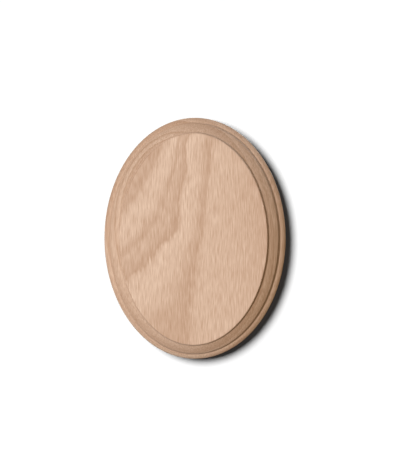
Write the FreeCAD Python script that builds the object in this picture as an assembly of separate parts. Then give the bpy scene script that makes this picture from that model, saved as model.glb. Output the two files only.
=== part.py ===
"""Oval handrail rosette: one solid oak plate with a moulded edge.

The plate hangs upright on a wall. The origin is the centre of its flat back,
+Z is up along the long axis of the oval, and the face looks towards -Y.
"""
import FreeCAD, Part
import os

# Driving dimensions, in millimetres
plate_width = 134.0
plate_height = 178.0
plate_thickness = 19.0

# The moulding's section, in order from the outline of the oval to the face
edge_height = 2.15
rim_easing_run = 0.25
rim_easing_rise = 0.55
rim_run = 4.4
rim_rise = 3.3
rim_crown = 0.31
outer_fillet_run = 2.2
outer_fillet_rise = 4.1
bevel_run = 7.4
bevel_crown = 0.15
inner_fillet_run = 1.75
inner_fillet_rise = 3.4

# Corners eased with sandpaper
face_easing = 0.3
back_easing = 0.5

# The bevel takes what the edge, the rim and the two fillets leave of the thickness
rim_crest_height = edge_height + rim_easing_rise + rim_rise
fillets_rise = outer_fillet_rise + inner_fillet_rise
bevel_rise = plate_thickness - rim_crest_height - fillets_rise


def section_point(inward, height):
    """A point of the section, which is drawn at the top of the oval.

    inward runs from the outline towards the middle of the plate, and height
    from the flat back towards the face.
    """
    return FreeCAD.Vector(0, -height, plate_height / 2 - inward)


def bulged_arc(start, end, bulge):
    """An arc over the chord from start to end, bulged outwards by its sagitta."""
    chord = end - start
    outward = chord.cross(FreeCAD.Vector(1, 0, 0)).normalize()
    if outward.y > 0:
        outward = -outward
    return Part.Arc(start, (start + end) * 0.5 + outward * bulge, end).toShape()


def moulding_section():
    """The open section of the edge, from the flat back round to the flat face."""
    back_end = section_point(back_easing, 0)
    edge_foot = section_point(0, back_easing)
    edge_head = section_point(0, edge_height)
    rim_foot = section_point(rim_easing_run, edge_height + rim_easing_rise)

    rim_crest_inward = rim_easing_run + rim_run
    rim_crest = section_point(rim_crest_inward, rim_crest_height)

    bevel_foot_inward = rim_crest_inward + outer_fillet_run
    bevel_foot_height = rim_crest_height + outer_fillet_rise
    bevel_foot = section_point(bevel_foot_inward, bevel_foot_height)

    bevel_head_inward = bevel_foot_inward + bevel_run
    bevel_head = section_point(bevel_head_inward, bevel_foot_height + bevel_rise)

    face_corner_inward = bevel_head_inward + inner_fillet_run
    fillet_slope = inner_fillet_run / inner_fillet_rise
    fillet_head = section_point(
        face_corner_inward - face_easing * fillet_slope, plate_thickness - face_easing)
    face_end = section_point(face_corner_inward + face_easing, plate_thickness)

    return Part.Wire([
        Part.LineSegment(back_end, edge_foot).toShape(),
        Part.LineSegment(edge_foot, edge_head).toShape(),
        Part.LineSegment(edge_head, rim_foot).toShape(),
        bulged_arc(rim_foot, rim_crest, rim_crown),
        Part.LineSegment(rim_crest, bevel_foot).toShape(),
        bulged_arc(bevel_foot, bevel_head, bevel_crown),
        Part.LineSegment(bevel_head, fillet_head).toShape(),
        Part.LineSegment(fillet_head, face_end).toShape(),
    ])


def oval_outline():
    """The outline of the plate in the plane of the wall, begun at its top."""
    oval = Part.Ellipse(
        FreeCAD.Vector(0, 0, plate_height / 2),
        FreeCAD.Vector(plate_width / 2, 0, 0),
        FreeCAD.Vector(0, 0, 0),
    )
    return Part.Wire([oval.toShape()])


def moulded_edge():
    """The section carried round the outline, square to it all the way."""
    sweep = Part.BRepOffsetAPI.MakePipeShell(oval_outline())
    sweep.setBiNormalMode(FreeCAD.Vector(0, 1, 0))
    sweep.add(moulding_section())
    sweep.build()
    return sweep.shape()


def flat_oval(edge_shell, height):
    """The flat face that fills the open end of the swept edge at a height."""
    rim = [
        edge for edge in edge_shell.Edges
        if all(abs(vertex.Point.y + height) < 1e-6 for vertex in edge.Vertexes)
        and len(edge.Vertexes) == 1
    ]
    return Part.Face(Part.Wire(rim))


def rosette():
    """The plate: the moulded edge, closed by its flat back and its flat face."""
    edge_shell = moulded_edge()
    back = flat_oval(edge_shell, 0)
    face = flat_oval(edge_shell, plate_thickness)
    shell = Part.makeShell(edge_shell.Faces + [back, face])
    shell.sewShape()
    return Part.makeSolid(shell)


os.makedirs("parts", exist_ok=True)
plate = rosette()
plate.exportStep("parts/rosette.step")
print("rosette:", len(plate.Faces), "faces, volume", round(plate.Volume / 1000, 1), "cm3")
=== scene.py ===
# %% [markdown]
# # An oval rosette for the end of a handrail
#
# Where a wooden handrail runs into a wall, a small plate is screwed to the wall first
# and the rail is cut square and fixed against it. That plate is the rosette. This one
# is a single piece of red oak, cut to an oval, with a moulding routed round its edge.
#
# The imported part gives the frame that everything here has to fit: its node and its body.

# %% Load the imported part
import math

import bmesh
import bpy
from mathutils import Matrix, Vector


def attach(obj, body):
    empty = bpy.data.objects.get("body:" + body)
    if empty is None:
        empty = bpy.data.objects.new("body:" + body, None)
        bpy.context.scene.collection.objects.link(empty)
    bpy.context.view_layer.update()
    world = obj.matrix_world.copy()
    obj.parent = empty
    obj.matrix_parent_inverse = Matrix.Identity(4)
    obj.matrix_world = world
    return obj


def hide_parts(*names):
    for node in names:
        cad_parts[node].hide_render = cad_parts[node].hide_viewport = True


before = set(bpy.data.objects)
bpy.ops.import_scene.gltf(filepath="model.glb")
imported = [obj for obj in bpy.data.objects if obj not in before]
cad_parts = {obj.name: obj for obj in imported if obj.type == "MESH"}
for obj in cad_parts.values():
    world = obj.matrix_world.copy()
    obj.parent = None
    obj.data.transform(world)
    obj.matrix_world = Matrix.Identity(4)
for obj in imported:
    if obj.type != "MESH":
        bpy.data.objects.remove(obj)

scene = bpy.context.scene
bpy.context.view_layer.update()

# %% [markdown]
# ## The camera
#
# The plate stands upright and is seen from close by, a little from its right and
# above its middle, so the moulding looks wider on the right than on the left. The
# place and the lens were found by matching the outline of the plate, the line round
# its rim and the edge of its flat face.

# %% Set the camera
CAMERA_PLACE = (0.01456, -0.25173, 0.00832)
CAMERA_TURN = (89.85, -0.11, 0.83)
CAMERA_LENS = 26.69
NEAREST_SEEN = 0.01

bpy.ops.object.camera_add(
    location=CAMERA_PLACE,
    rotation=[math.radians(angle) for angle in CAMERA_TURN],
)
camera = bpy.context.object
camera.name = "camera"
camera.data.lens = CAMERA_LENS
camera.data.clip_start = NEAREST_SEEN
scene.camera = camera
print("camera", CAMERA_PLACE, "lens", CAMERA_LENS)

# %% [markdown]
# ## The studio
#
# One soft lamp in front, to the left and a little above, lights the wood and leaves
# the right and the lower side of the moulding darker. A second, much softer one lights
# the plate's back, for whoever goes round it.
#
# Both are sun lamps, which light every point alike. At a strength of pi a surface that
# faces such a lamp shows the colour that it is given. The front lamp has about that
# strength, so the colours of the wood render nearly as they are written.

# %% Put up the lamps
scene.view_settings.view_transform = "Standard"
KEY_FROM = Vector((-0.387, -1.0, 0.191))
KEY_STRENGTH = 3.20
KEY_SPREAD = 10
REAR_FROM = Vector((0.5, 1.0, 0.5))
REAR_STRENGTH = 2.4
REAR_SPREAD = 40


def add_lamp(name, comes_from, strength, spread):
    """A sun lamp that shines from a direction, as soft as its spread in degrees."""
    bpy.ops.object.light_add(type="SUN", location=comes_from)
    lamp = bpy.context.object
    lamp.name = name
    lamp.rotation_euler = comes_from.to_track_quat("Z", "Y").to_euler()
    lamp.data.energy = strength
    lamp.data.angle = math.radians(spread)
    return lamp


key_lamp = add_lamp("key_lamp", KEY_FROM, KEY_STRENGTH, KEY_SPREAD)
rear_lamp = add_lamp("rear_lamp", REAR_FROM, REAR_STRENGTH, REAR_SPREAD)
print("sun lamps", key_lamp.name, rear_lamp.name)

# %% [markdown]
# A node tree is easier to read when a node is one line. These helpers add a node with
# its settings, give an input a number, a colour or a link, and do a piece of
# arithmetic.

# %% Helpers for node trees
WHITE = (1, 1, 1, 1)


def add_node(tree, kind, **settings):
    """A new node of a tree, with its settings."""
    node = tree.nodes.new(kind)
    for name, value in settings.items():
        setattr(node, name, value)
    return node


def feed(tree, socket, value):
    """Links value to the socket if it is another socket, or else writes it there."""
    if isinstance(value, bpy.types.NodeSocket):
        tree.links.new(value, socket)
    else:
        socket.default_value = value


def calc(tree, operation, *values):
    """The result of a Math node."""
    node = add_node(tree, "ShaderNodeMath", operation=operation)
    for socket, value in zip(node.inputs, values):
        feed(tree, socket, value)
    return node.outputs[0]


def fresh_tree(owner):
    """The owner's node tree, emptied."""
    owner.use_nodes = True
    owner.node_tree.nodes.clear()
    return owner.node_tree


# %% [markdown]
# The plate hangs a little way in front of a white sheet, so its shadow falls beside it
# and not under it. The shadow is nearly as wide all down the right side. A lamp far to
# the left can't give that, but one close to the camera does, so the sheet has a lamp
# of its own there. Light linking keeps the lamps apart: this one lights the sheet
# alone, and the front lamp the plate and the floor.
#
# A point lamp gets weaker with distance, which would leave a bright spot on the sheet.
# A Light Falloff node takes that away.

# %% Give the sheet its own lamp
SHEET_LAMP_PLACE = (-0.085, -0.252, 0.058)
SHEET_LAMP_RADIUS = 0.050
SHEET_LAMP_POWER = 580

bpy.ops.object.light_add(type="POINT", location=SHEET_LAMP_PLACE)
sheet_lamp = bpy.context.object
sheet_lamp.name = "sheet_lamp"
sheet_lamp.data.shadow_soft_size = SHEET_LAMP_RADIUS
sheet_lamp.data.energy = SHEET_LAMP_POWER
sheet_lamp.data.use_nodes = True
tree = sheet_lamp.data.node_tree
falloff = add_node(tree, "ShaderNodeLightFalloff")
feed(tree, falloff.inputs["Strength"], 1.0)
feed(tree, tree.nodes["Emission"].inputs["Strength"], falloff.outputs["Constant"])


def light_only(lamp, *objects):
    """Makes a lamp light these objects and nothing else."""
    lit = bpy.data.collections.new(lamp.name + " lights")
    for item in objects:
        lit.objects.link(item)
    lamp.light_linking.receiver_collection = lit


# %% [markdown]
# The room is white to the camera and gives only a little light of its own, so the
# shaded side of the moulding keeps its depth.

# %% Make the room
ROOM_LIGHT = 0.035

room = bpy.data.worlds.new("studio_room")
scene.world = room
tree = fresh_tree(room)
path = add_node(tree, "ShaderNodeLightPath")
level = calc(tree, "MAXIMUM", path.outputs["Is Camera Ray"], ROOM_LIGHT)
shine = add_node(tree, "ShaderNodeBackground")
feed(tree, shine.inputs["Color"], WHITE)
feed(tree, shine.inputs["Strength"], level)
out = add_node(tree, "ShaderNodeOutputWorld")
feed(tree, out.inputs["Surface"], shine.outputs[0])
print("room light", ROOM_LIGHT)

# %% [markdown]
# The sheet takes the shadow, and it must not hide the plate's back when the camera
# goes round. So only the camera sees it, and only from the front. From behind, and to
# the light that goes between surfaces, it is clear.
#
# Its paint is really dark and its lamp strong, which together look white. The warm
# light that the wood throws back at it then hardly shows, and the shadow stays grey. A
# slight glow of the sheet's own sets how dark the shadow can get. Light that arrives
# at a slant is weaker, so the paint gets lighter with the distance from the lamp.

# %% Hang the sheet
SHEET_GAP = 0.014
SHEET_TONE = 0.07
SHEET_GLOW = 0.016
SHEET_SIZE = 1.2
FLOOR_HEIGHT = -0.32

bpy.ops.mesh.primitive_plane_add(
    size=SHEET_SIZE,
    location=(0, SHEET_GAP, FLOOR_HEIGHT + SHEET_SIZE / 2),
    rotation=(math.radians(90), 0, 0),
)
sheet = bpy.context.object
sheet.name = "white_sheet"

paint = bpy.data.materials.new("sheet_white")
tree = fresh_tree(paint)
path = add_node(tree, "ShaderNodeLightPath")
side = add_node(tree, "ShaderNodeNewGeometry")
front = calc(tree, "SUBTRACT", 1.0, side.outputs["Backfacing"])
shown = calc(tree, "MULTIPLY", path.outputs["Is Camera Ray"], front)
reach = add_node(tree, "ShaderNodeVectorMath", operation="DISTANCE")
feed(tree, reach.inputs[0], side.outputs["Position"])
feed(tree, reach.inputs[1], SHEET_LAMP_PLACE)
lamp_distance = SHEET_GAP - SHEET_LAMP_PLACE[1]
even_white = calc(tree, "MULTIPLY", reach.outputs["Value"], SHEET_TONE / lamp_distance)
white = add_node(tree, "ShaderNodeBsdfDiffuse")
feed(tree, white.inputs["Color"], even_white)
glow = add_node(tree, "ShaderNodeEmission")
feed(tree, glow.inputs["Strength"], SHEET_GLOW)
both = add_node(tree, "ShaderNodeAddShader")
feed(tree, both.inputs[0], white.outputs[0])
feed(tree, both.inputs[1], glow.outputs[0])
clear = add_node(tree, "ShaderNodeBsdfTransparent")
mix = add_node(tree, "ShaderNodeMixShader")
feed(tree, mix.inputs[0], shown)
feed(tree, mix.inputs[1], clear.outputs[0])
feed(tree, mix.inputs[2], both.outputs[0])
out = add_node(tree, "ShaderNodeOutputMaterial")
feed(tree, out.inputs["Surface"], mix.outputs[0])
sheet.data.materials.append(paint)
light_only(sheet_lamp, sheet)
print("sheet", SHEET_GAP, "m behind the plate")

# %% [markdown]
# The floor below is nearly white to the camera, by a pale tone and a glow that only the
# camera sees. To everything else it is dark, so it throws hardly any light up at the
# plate.

# %% Lay the floor
FLOOR_SIZE = 3.0
FLOOR_TONE = 0.1
FLOOR_TONE_SEEN = 0.85
FLOOR_GLOW_SEEN = 0.8
FLOOR_ROUGHNESS = 0.9

bpy.ops.mesh.primitive_plane_add(size=FLOOR_SIZE, location=(0, 0, FLOOR_HEIGHT))
floor = bpy.context.object
floor.name = "pale_floor"

paint = bpy.data.materials.new("floor_pale")
tree = fresh_tree(paint)
path = add_node(tree, "ShaderNodeLightPath")
seen = path.outputs["Is Camera Ray"]
pale = add_node(tree, "ShaderNodeBsdfPrincipled")
floor_tone = calc(tree, "MULTIPLY_ADD", seen, FLOOR_TONE_SEEN - FLOOR_TONE, FLOOR_TONE)
feed(tree, pale.inputs["Base Color"], floor_tone)
feed(tree, pale.inputs["Roughness"], FLOOR_ROUGHNESS)
feed(tree, pale.inputs["Emission Color"], WHITE)
feed(tree, pale.inputs["Emission Strength"], calc(tree, "MULTIPLY", seen, FLOOR_GLOW_SEEN))
out = add_node(tree, "ShaderNodeOutputMaterial")
feed(tree, out.inputs["Surface"], pale.outputs[0])
floor.data.materials.append(paint)
print("floor at", FLOOR_HEIGHT)

# %% [markdown]
# ## The plate
#
# The blank is an oval cut from a board 19 mm thick. A router then runs round it and
# takes the moulding out of its front edge: a rounded rim, a small steep fillet, a
# wide bevel with a slight crown, and a second small fillet up to the flat face.
#
# A lathe cannot make an oval, and a curve with a bevel profile would need its corners
# watched. Inset does what the router does: each step goes in by the same amount all
# round, square to the outline, and rises by its depth. So the plate starts as a
# filled circle, is stretched to the oval, and is stepped in along the section.

# %% The section of the moulded edge
MM = 0.001
plate_width = 134.0 * MM
plate_height = 178.0 * MM
plate_thickness = 19.0 * MM
edge_height = 2.15 * MM
rim_easing_run = 0.25 * MM
rim_easing_rise = 0.55 * MM
rim_run = 4.4 * MM
rim_rise = 3.3 * MM
rim_crown = 0.31 * MM
outer_fillet_run = 2.2 * MM
outer_fillet_rise = 4.1 * MM
bevel_run = 7.4 * MM
bevel_rise = 5.5 * MM
bevel_crown = 0.15 * MM
inner_fillet_run = 1.75 * MM
inner_fillet_rise = 3.4 * MM
face_easing = 0.3 * MM
back_easing = 0.5 * MM
flat_strip = 1.0 * MM
CROWN_STEPS = 8


def crowned_slope(start, run, rise, crown):
    """Points (in, up) on a slope from a start point, bulged by its crown in the middle."""
    length = math.hypot(run, rise)
    points = []
    for step in range(1, CROWN_STEPS + 1):
        part = step / CROWN_STEPS
        bulge = 4 * crown * part * (1 - part)
        points.append((
            start[0] + run * part - bulge * rise / length,
            start[1] + rise * part + bulge * run / length,
        ))
    return points


rim_foot = (rim_easing_run, edge_height + rim_easing_rise)
rim = crowned_slope(rim_foot, rim_run, rim_rise, rim_crown)
bevel_foot = (rim[-1][0] + outer_fillet_run, rim[-1][1] + outer_fillet_rise)
bevel = crowned_slope(bevel_foot, bevel_run, bevel_rise, bevel_crown)
face_edge = bevel[-1][0] + inner_fillet_run
fillet_slope = inner_fillet_run / inner_fillet_rise
fillet_head = (face_edge - face_easing * fillet_slope, plate_thickness - face_easing)
face_end = (face_edge + face_easing, plate_thickness)
on_the_flat = (face_edge + flat_strip, plate_thickness)
section = [rim_foot] + rim + [bevel_foot] + bevel + [fillet_head, face_end, on_the_flat]
print("section of", len(section), "steps, moulding", round(face_edge / MM, 2), "mm wide")

# %% [markdown]
# The circle is added standing up, turned so that its face looks at the viewer, and
# stretched along Z. Extruding it once gives the square edge that stays below the rim.

# %% Cut the oval blank
OUTLINE_POINTS = 384

bpy.ops.object.select_all(action="DESELECT")
bpy.ops.mesh.primitive_circle_add(
    vertices=OUTLINE_POINTS,
    radius=plate_width / 2,
    fill_type="NGON",
    location=(0, 0, 0),
    rotation=(math.radians(90), 0, 0),
)
plate = bpy.context.object
plate.name = "rosette_plate"
bpy.ops.object.transform_apply(location=True, rotation=True, scale=True)

bpy.ops.object.mode_set(mode="EDIT")
bpy.ops.mesh.select_all(action="SELECT")
bpy.ops.transform.resize(value=(1, 1, plate_height / plate_width))
bpy.ops.mesh.extrude_region_move(TRANSFORM_OT_translate={"value": (0, -edge_height, 0)})
bpy.ops.object.mode_set(mode="OBJECT")
print("blank", [round(size / MM, 2) for size in plate.dimensions], "mm")

# %% [markdown]
# The front face is still selected, and after each inset the new inner face is the
# selected one, so the section can be followed step by step like a router's passes. The
# last step stays on the flat, a little further in, and keeps the shading of the rounded
# corner off the face.

# %% Rout the moulding
bpy.ops.object.mode_set(mode="EDIT")
inward, height = 0.0, edge_height
for next_inward, next_height in section:
    bpy.ops.mesh.inset(
        use_even_offset=True,
        thickness=next_inward - inward,
        depth=next_height - height,
    )
    inward, height = next_inward, next_height
bpy.ops.object.mode_set(mode="OBJECT")
print("moulded", len(plate.data.polygons), "faces")

# %% [markdown]
# The edge against the wall is only eased with sandpaper. Its edges are found by their
# place, on the plane of the back, and bevelled. The back face then gets a flat strip
# inside it, as the front one did.

# %% Ease the back edge
BACK_EASING_SEGMENTS = 3
ON_THE_BACK = 0.001 * MM
FACES_STRAIGHT = 0.999

bpy.ops.object.mode_set(mode="EDIT")
bpy.ops.mesh.select_mode(type="EDGE")
bpy.ops.mesh.select_all(action="DESELECT")
work = bmesh.from_edit_mesh(plate.data)
for edge in work.edges:
    edge.select = all(abs(corner.co.y) < ON_THE_BACK for corner in edge.verts)
bmesh.update_edit_mesh(plate.data)
bpy.ops.mesh.bevel(offset=back_easing, segments=BACK_EASING_SEGMENTS, affect="EDGES")

bpy.ops.mesh.select_mode(type="FACE")
bpy.ops.mesh.select_all(action="DESELECT")
work = bmesh.from_edit_mesh(plate.data)
for face in work.faces:
    is_flat = abs(face.normal.y) > FACES_STRAIGHT
    face.select = is_flat and face.calc_center_median().y > -ON_THE_BACK
bmesh.update_edit_mesh(plate.data)
bpy.ops.mesh.inset(use_even_offset=True, thickness=flat_strip, depth=0.0)
bpy.ops.mesh.select_all(action="SELECT")
bpy.ops.mesh.normals_make_consistent(inside=False)
bpy.ops.object.mode_set(mode="OBJECT")
print("eased", len(plate.data.polygons), "faces")

# %% [markdown]
# A router bit leaves crisp corners and a light sanding takes the sharpness off. A
# Bevel modifier with an angle limit finds those corners and rounds each by a fifth of
# a millimetre. Smooth shading then joins what is left.

# %% Sand the corners
SANDED_CORNER = 0.2 * MM
SANDED_SEGMENTS = 2
SANDED_ANGLE = 20
SMOOTHED_ANGLE = 40

rounding = plate.modifiers.new("sanded corners", "BEVEL")
rounding.width = SANDED_CORNER
rounding.segments = SANDED_SEGMENTS
rounding.limit_method = "ANGLE"
rounding.angle_limit = math.radians(SANDED_ANGLE)
bpy.ops.object.modifier_apply(modifier=rounding.name)
bpy.ops.object.shade_smooth_by_angle(angle=math.radians(SMOOTHED_ANGLE))
print("sanded", len(plate.data.polygons), "faces")

# %% [markdown]
# Before the plate gets its wood, its mesh is measured: its open edges, of which there
# should be none, are counted and its volume is printed.

# %% Measure the plate
CM3 = 1e-6

check = bmesh.new()
check.from_mesh(plate.data)
open_edges = sum(1 for edge in check.edges if not edge.is_manifold)
volume = check.calc_volume(signed=True)
check.free()
triangles = sum(len(face.vertices) - 2 for face in plate.data.polygons)
print("plate", triangles, "triangles", open_edges, "open edges", round(volume / CM3, 1), "cm3")

# %% [markdown]
# ## Red oak
#
# The board is flat-sawn: it is cut across the growth rings at a shallow angle, so the
# rings show as wide slanting bands. Within a ring the wood goes from pale and porous
# to darker and dense, and stops at a sharp line where the next year starts. The
# rings sweep from the upper middle down to the left, and one runs nearly straight
# down the middle.
#
# Noise is the first thing that both the rings and the fibres need. Its grains are
# stretched, because everything in wood is long in the direction that the tree grew.

# %% Helpers for the grain of the wood
NOISE_DETAIL = 2.0


def stretched_noise(tree, point, across, along, offset):
    """Noise with grains so wide and so long in metres, the long way up the plate."""
    place = add_node(tree, "ShaderNodeMapping")
    feed(tree, place.inputs["Vector"], point)
    feed(tree, place.inputs["Location"], (offset, offset, offset))
    feed(tree, place.inputs["Scale"], (1 / across, 1 / across, 1 / along))
    noise = add_node(tree, "ShaderNodeTexNoise")
    feed(tree, noise.inputs["Vector"], place.outputs["Vector"])
    feed(tree, noise.inputs["Scale"], 1.0)
    feed(tree, noise.inputs["Detail"], NOISE_DETAIL)
    return noise.outputs["Fac"]


def swing(tree, point, across, along, amount, offset=0.0):
    """Stretched noise that swings about zero by its amount."""
    noise = stretched_noise(tree, point, across, along, offset)
    return calc(tree, "MULTIPLY", calc(tree, "SUBTRACT", noise, 0.5), amount)


def new_group(name, inputs, outputs):
    """An empty node group with named inputs and outputs, and its two end nodes."""
    group = bpy.data.node_groups.new(name, "ShaderNodeTree")
    for title, kind in inputs:
        group.interface.new_socket(name=title, in_out="INPUT", socket_type=kind)
    for title, kind in outputs:
        group.interface.new_socket(name=title, in_out="OUTPUT", socket_type=kind)
    return group, add_node(group, "NodeGroupInput"), add_node(group, "NodeGroupOutput")


print("helpers for the grain are ready")

# %% [markdown]
# The ring pattern is made as the tree makes it. A field gives every point of the board
# its age, in which the rings are lines of equal age, and a colour ramp turns the age
# into tone. A Wave texture would give only round rings or straight bands. Here a few
# numbers say how the rings crowd, how they lean, and where they bend round a bump.
#
# The field also grows with depth, so the rings carry on over the moulding, the edge
# and the back as they do in solid wood.

# %% The growth ring group
RING_SPAN = 0.06
CROWDING_UPWARD = 0.594
CROWDING_RIGHTWARD = 0.266
LEAST_CROWDING, CROWDING_EASE = 0.5, 0.3
LEAN, LEAN_CHANGE = -0.21, -0.064
AGE_PER_METRE_DEEP = 150.0
RAGGED_WIDTH, RAGGED_LENGTH = 0.0017, 0.009
BUMPS = [
    ((-0.018, 1.071), 0.317, 0.14),
    ((-0.193, 0.145), 0.37, -0.098),
    ((-0.05, -1.15), 0.70, -0.05),
    ((-0.40, -0.95), 0.32, 0.06),
]


def bump(tree, across, up, centre, reach, rise):
    """A round rise of the ring field, where the tree grew round a small bump."""
    left = calc(tree, "SUBTRACT", across, centre[0])
    high = calc(tree, "SUBTRACT", up, centre[1])
    left_squared = calc(tree, "MULTIPLY", left, left)
    high_squared = calc(tree, "MULTIPLY", high, high)
    distance = calc(tree, "SQRT", calc(tree, "ADD", left_squared, high_squared))
    ease = add_node(tree, "ShaderNodeMapRange", interpolation_type="SMOOTHSTEP")
    feed(tree, ease.inputs["Value"], distance)
    feed(tree, ease.inputs["From Min"], 0.0)
    feed(tree, ease.inputs["From Max"], reach)
    feed(tree, ease.inputs["To Min"], rise)
    feed(tree, ease.inputs["To Max"], 0.0)
    return ease.outputs["Result"]


rings, ends, out = new_group(
    "oak growth rings",
    [("Point", "NodeSocketVector"), ("Raggedness", "NodeSocketFloat")],
    [("Age", "NodeSocketFloat")],
)
point = ends.outputs["Point"]
split = add_node(rings, "ShaderNodeSeparateXYZ")
feed(rings, split.inputs[0], point)
across = calc(rings, "DIVIDE", split.outputs["X"], RING_SPAN)
up = calc(rings, "DIVIDE", split.outputs["Z"], RING_SPAN)
deep = calc(rings, "ADD", split.outputs["Y"], plate_thickness)

crowding = calc(rings, "MULTIPLY_ADD", up, CROWDING_UPWARD, 1.0)
crowding = calc(rings, "SMOOTH_MAX", crowding, LEAST_CROWDING, CROWDING_EASE)
crowding = calc(rings, "MULTIPLY_ADD", across, CROWDING_RIGHTWARD, crowding)
lean = calc(rings, "MULTIPLY_ADD", up, LEAN_CHANGE, LEAN)
age = calc(rings, "MULTIPLY", across, crowding)
age = calc(rings, "ADD", age, calc(rings, "MULTIPLY", up, lean))
for centre, reach, rise in BUMPS:
    age = calc(rings, "ADD", age, bump(rings, across, up, centre, reach, rise))
age = calc(rings, "ADD", age, calc(rings, "MULTIPLY", deep, AGE_PER_METRE_DEEP))
ragged = swing(rings, point, RAGGED_WIDTH, RAGGED_LENGTH, ends.outputs["Raggedness"])
feed(rings, out.inputs["Age"], calc(rings, "ADD", age, ragged))
print("growth rings", len(rings.nodes), "nodes")

# %% [markdown]
# Red oak is full of long open vessels. On a flat-sawn face they show as fine dark
# dashes that run with the grain, many in the pale early wood and few in the late
# wood, and on the end grain as dots. Stretched cells give both from one pattern: each
# cell is a thin spindle along the grain, dark near its middle line.

# %% The vessel group
vessels, ends, out = new_group(
    "oak vessels",
    [
        ("Point", "NodeSocketVector"),
        ("Width", "NodeSocketFloat"),
        ("Spacing", "NodeSocketFloat"),
        ("Length", "NodeSocketFloat"),
    ],
    [("Mask", "NodeSocketFloat")],
)
size = add_node(vessels, "ShaderNodeCombineXYZ")
feed(vessels, size.inputs["X"], ends.outputs["Spacing"])
feed(vessels, size.inputs["Y"], ends.outputs["Spacing"])
feed(vessels, size.inputs["Z"], ends.outputs["Length"])
place = add_node(vessels, "ShaderNodeVectorMath", operation="DIVIDE")
feed(vessels, place.inputs[0], ends.outputs["Point"])
feed(vessels, place.inputs[1], size.outputs[0])
cells = add_node(vessels, "ShaderNodeTexVoronoi", feature="F1")
feed(vessels, cells.inputs["Vector"], place.outputs[0])
feed(vessels, cells.inputs["Scale"], 1.0)
reach = calc(vessels, "DIVIDE", ends.outputs["Width"], ends.outputs["Spacing"])
core = add_node(vessels, "ShaderNodeMapRange", interpolation_type="SMOOTHSTEP")
feed(vessels, core.inputs["Value"], cells.outputs["Distance"])
feed(vessels, core.inputs["From Min"], 0.0)
feed(vessels, core.inputs["From Max"], reach)
feed(vessels, core.inputs["To Min"], 1.0)
feed(vessels, core.inputs["To Max"], 0.0)
feed(vessels, out.inputs["Mask"], core.outputs["Result"])
print("vessels", len(vessels.nodes), "nodes")

# %% [markdown]
# The wood is unfinished and only sanded, so its colour is the bare wood's and it
# scatters light broadly. The ring ramp holds the tone of each year: how dark the wood
# is just before the ring's line, just after it, and in its middle. The wide year to
# the right of the middle is the plain wood there.

# %% The colours of the wood
PALE_WOOD = (0.735, 0.508, 0.365, 1)
DARK_WOOD = (0.605, 0.388, 0.262, 1)
VESSEL_WOOD = (0.430, 0.245, 0.150, 1)
AGE_LOW, AGE_HIGH = -2.0, 4.6
OUTER_TONE = 0.4
ring_tones = [
    (-1.71, 1.0), (-1.67, 0.2),
    (-1.22, 1.0), (-1.19, 0.6), (-1.00, 0.8),
    (-0.88, 1.15), (-0.82, 0.3), (-0.70, -0.1), (-0.60, 0.15),
    (-0.52, 1.2), (-0.48, 0.5), (-0.40, 0.8),
    (-0.32, 1.3), (-0.29, 0.05), (-0.19, -0.1), (-0.08, 0.25),
    (0.00, 0.85), (0.07, 1.2), (0.11, 0.4), (0.20, 0.3), (0.55, 0.5), (1.00, 0.9),
    (1.44, 1.1), (1.47, 0.3),
    (2.10, 1.0), (2.13, 0.3),
    (2.90, 1.0), (2.93, 0.35),
    (3.80, 1.0), (3.83, 0.3),
]


def grey(tone):
    """A tone as a colour."""
    return (tone, tone, tone, 1)


def ring_ramp(tree, age):
    """The tone of the wood, from 0 for pale to 1 for dark, at an age in the ring field."""
    scale = add_node(tree, "ShaderNodeMapRange")
    feed(tree, scale.inputs["Value"], age)
    feed(tree, scale.inputs["From Min"], AGE_LOW)
    feed(tree, scale.inputs["From Max"], AGE_HIGH)
    ramp = add_node(tree, "ShaderNodeValToRGB")
    feed(tree, ramp.inputs[0], scale.outputs["Result"])
    stops = ramp.color_ramp.elements
    for stop in (stops[0], stops[1]):
        stop.color = grey(OUTER_TONE)
    for place, tone in ring_tones:
        stop = stops.new((place - AGE_LOW) / (AGE_HIGH - AGE_LOW))
        stop.color = grey(tone)
    return ramp.outputs["Color"]


print("a ramp of", len(ring_tones) + 2, "stops, of the 32 that one can hold")

# %% [markdown]
# ## The oak material
#
# Tone comes first: the ring's tone, then fibre streaks under a millimetre wide that run
# with the grain and fade in the dense late wood, then a faint cloudiness over a few
# centimetres. One number holds the sum, and it mixes pale and dark wood once. It may go
# a little past 0 and 1, and the mix then goes a little past the two colours, as single
# fibres do.

# %% Mix the tone of the wood
RING_RAGGEDNESS = 0.12
STREAK_WIDTH, STREAK_LENGTH, STREAK_AMOUNT, STREAK_OFFSET = 0.0007, 0.009, 3.7, 3.1
STREAK_IN_PALE, STREAK_FADE = 1.2, -0.35
CLOUD_WIDTH, CLOUD_LENGTH, CLOUD_AMOUNT, CLOUD_OFFSET = 0.012, 0.030, 0.2, 7.7


def mix_colour(tree, factor, first, second, blend="MIX"):
    """The colour between two colours, by a factor that may also go a little past them."""
    node = add_node(tree, "ShaderNodeMix", data_type="RGBA", blend_type=blend)
    node.clamp_factor = False
    feed(tree, node.inputs["Factor"], factor)
    feed(tree, node.inputs["A"], first)
    feed(tree, node.inputs["B"], second)
    return node.outputs["Result"]


oak = bpy.data.materials.new("sanded_red_oak")
tree = fresh_tree(oak)
where = add_node(tree, "ShaderNodeTexCoord")
point = where.outputs["Object"]

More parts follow.
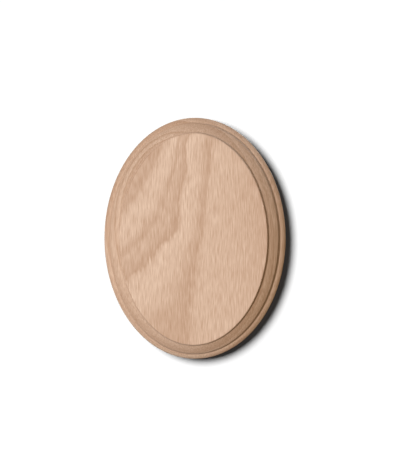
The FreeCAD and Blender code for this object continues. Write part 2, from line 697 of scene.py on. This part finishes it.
age = add_node(tree, "ShaderNodeGroup", node_tree=rings)
feed(tree, age.inputs["Point"], point)
feed(tree, age.inputs["Raggedness"], RING_RAGGEDNESS)
ring_tone = ring_ramp(tree, age.outputs["Age"])
streak = swing(tree, point, STREAK_WIDTH, STREAK_LENGTH, STREAK_AMOUNT, STREAK_OFFSET)
streak_show = calc(tree, "MULTIPLY_ADD", ring_tone, STREAK_FADE, STREAK_IN_PALE)
streak = calc(tree, "MULTIPLY", streak, streak_show)
cloud = swing(tree, point, CLOUD_WIDTH, CLOUD_LENGTH, CLOUD_AMOUNT, CLOUD_OFFSET)
tone = calc(tree, "ADD", ring_tone, calc(tree, "ADD", streak, cloud))
colour = mix_colour(tree, tone, PALE_WOOD, DARK_WOOD)
print("tone of", len(ring_tones), "ring stops, streaks", STREAK_WIDTH / MM, "mm wide")

# %% [markdown]
# The vessels go over that colour. They show less in the dense late wood, so the tone
# holds them back there. Where the surface faces up or down the cutter has crossed the
# fibres and opened the vessels' ends, which show as darker dots.

# %% Open the vessels
VESSEL_WIDTH, VESSEL_SPACING, VESSEL_LENGTH = 0.0006, 0.0016, 0.012
VESSEL_SHOW = 0.30
VESSEL_FADE = -0.6
END_VESSEL_SHOW = 0.70

facing = add_node(tree, "ShaderNodeSeparateXYZ")
feed(tree, facing.inputs[0], where.outputs["Normal"])
crossed = calc(tree, "MULTIPLY", facing.outputs["Z"], facing.outputs["Z"])

dash = add_node(tree, "ShaderNodeGroup", node_tree=vessels)
feed(tree, dash.inputs["Point"], point)
feed(tree, dash.inputs["Width"], VESSEL_WIDTH)
feed(tree, dash.inputs["Spacing"], VESSEL_SPACING)
feed(tree, dash.inputs["Length"], VESSEL_LENGTH)
open_wood = calc(tree, "MULTIPLY_ADD", tone, VESSEL_FADE, 1.0)
pores = calc(tree, "MULTIPLY", dash.outputs["Mask"], open_wood)
show = calc(tree, "MULTIPLY_ADD", crossed, END_VESSEL_SHOW, VESSEL_SHOW)
colour = mix_colour(tree, calc(tree, "MULTIPLY", pores, show), colour, VESSEL_WOOD)
print("vessels", VESSEL_LENGTH / MM, "mm long")

# %% [markdown]
# The moulding gets three tints. Each follows the way the surface faces, so the normal
# decides them, and the flat face and the back keep the plain colour. The slopes that
# face up are made darker, less so on the right, and the bottom gets none of it. On the
# right and below, the slopes that turn away from the light get a warm painted shade. On
# the left and above, where the light meets them, the steep fillets get painted light
# that makes them as pale as the face.

# %% Tint the moulding, with painted shade and painted light
UPWARD_SLOPE_TINT = (0.70, 0.66, 0.63, 1)
UPWARD_SLOPE_TINT_SHOW = 2.1
UPWARD_SLOPE_TINT_STOPS = 0.9
UPWARD_SLOPE_TINT_RIGHT_FADE = -2.5
SHADE_TINT = (1.03, 0.76, 0.38, 1)
SIDEWAYS, DOWNWARDS = 0.93, -0.37
FILLET_PAINTED_LIGHT = (1.20, 1.19, 1.18, 1)
STEEP_SCALE, STEEP_START = 3.5, 2.6
LIT_SCALE = -2.0


def tint(tree, amount, colour, shade):
    """The colour with a tint multiplied in by an amount."""
    return mix_colour(tree, amount, colour, mix_colour(tree, 1.0, colour, shade, "MULTIPLY"))


def not_below_0(tree, value):
    """The value, or 0 where it is negative."""
    return calc(tree, "MAXIMUM", value, 0.0)


def from_0_to_1(tree, value):
    """The value, held between 0 and 1."""
    return calc(tree, "MINIMUM", not_below_0(tree, value), 1.0)


# Darker where the slopes face up, less so where they face right.
upward = not_below_0(tree, facing.outputs["Z"])
rightward = not_below_0(tree, facing.outputs["X"])
not_right = not_below_0(tree, calc(tree, "MULTIPLY_ADD", rightward, UPWARD_SLOPE_TINT_RIGHT_FADE, 1.0))
not_steep = not_below_0(tree, calc(tree, "SUBTRACT", UPWARD_SLOPE_TINT_STOPS, upward))
top_slope = calc(tree, "MULTIPLY", calc(tree, "MULTIPLY", upward, not_steep), not_right)
colour = tint(tree, calc(tree, "MULTIPLY", top_slope, UPWARD_SLOPE_TINT_SHOW), colour, UPWARD_SLOPE_TINT)

# The warm tint on the slopes turned away from the light is painted shade.
turned = calc(tree, "MULTIPLY", facing.outputs["X"], SIDEWAYS)
turned = calc(tree, "MULTIPLY_ADD", facing.outputs["Z"], DOWNWARDS, turned)
away = not_below_0(tree, turned)
colour = tint(tree, calc(tree, "MULTIPLY", away, away), colour, SHADE_TINT)

# The pale tint on the steep fillets that face the light is painted light.
steep = calc(tree, "MULTIPLY_ADD", facing.outputs["Y"], STEEP_SCALE, STEEP_START)
lit = calc(tree, "MULTIPLY", turned, LIT_SCALE)
lit_fillet = calc(tree, "MULTIPLY", from_0_to_1(tree, steep), from_0_to_1(tree, lit))
colour = tint(tree, lit_fillet, colour, FILLET_PAINTED_LIGHT)
print("tints", UPWARD_SLOPE_TINT[:3], SHADE_TINT[:3], FILLET_PAINTED_LIGHT[:3])

# %% [markdown]
# The surface is sanded and dry. It is rough, more so in the open vessels, reflects
# little, and keeps a faint relief where the vessels and the soft fibres lie lower.

# %% Finish the surface
GRAIN_STRENGTH = 0.2
GRAIN_DEPTH = 0.2 * MM
STREAK_RELIEF, VESSEL_RELIEF = 0.3, -1.0
SANDED_ROUGHNESS, VESSEL_ROUGHNESS = 0.6, 0.15
SANDED_SPECULAR = 0.2

streak_relief = calc(tree, "MULTIPLY", streak, STREAK_RELIEF)
relief = calc(tree, "MULTIPLY_ADD", pores, VESSEL_RELIEF, streak_relief)
grain = add_node(tree, "ShaderNodeBump")
feed(tree, grain.inputs["Height"], relief)
feed(tree, grain.inputs["Strength"], GRAIN_STRENGTH)
feed(tree, grain.inputs["Distance"], GRAIN_DEPTH)

roughness = calc(tree, "MULTIPLY_ADD", pores, VESSEL_ROUGHNESS, SANDED_ROUGHNESS)
wood = add_node(tree, "ShaderNodeBsdfPrincipled")
feed(tree, wood.inputs["Base Color"], colour)
feed(tree, wood.inputs["Roughness"], roughness)
feed(tree, wood.inputs["Normal"], grain.outputs["Normal"])
feed(tree, wood.inputs["Specular IOR Level"], SANDED_SPECULAR)
out = add_node(tree, "ShaderNodeOutputMaterial")
feed(tree, out.inputs["Surface"], wood.outputs[0])
plate.data.materials.append(oak)
light_only(key_lamp, plate, floor)
print("oak", len(tree.nodes), "nodes")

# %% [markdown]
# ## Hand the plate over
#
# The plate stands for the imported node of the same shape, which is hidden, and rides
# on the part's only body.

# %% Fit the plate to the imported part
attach(plate, "root")
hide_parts("rosette")
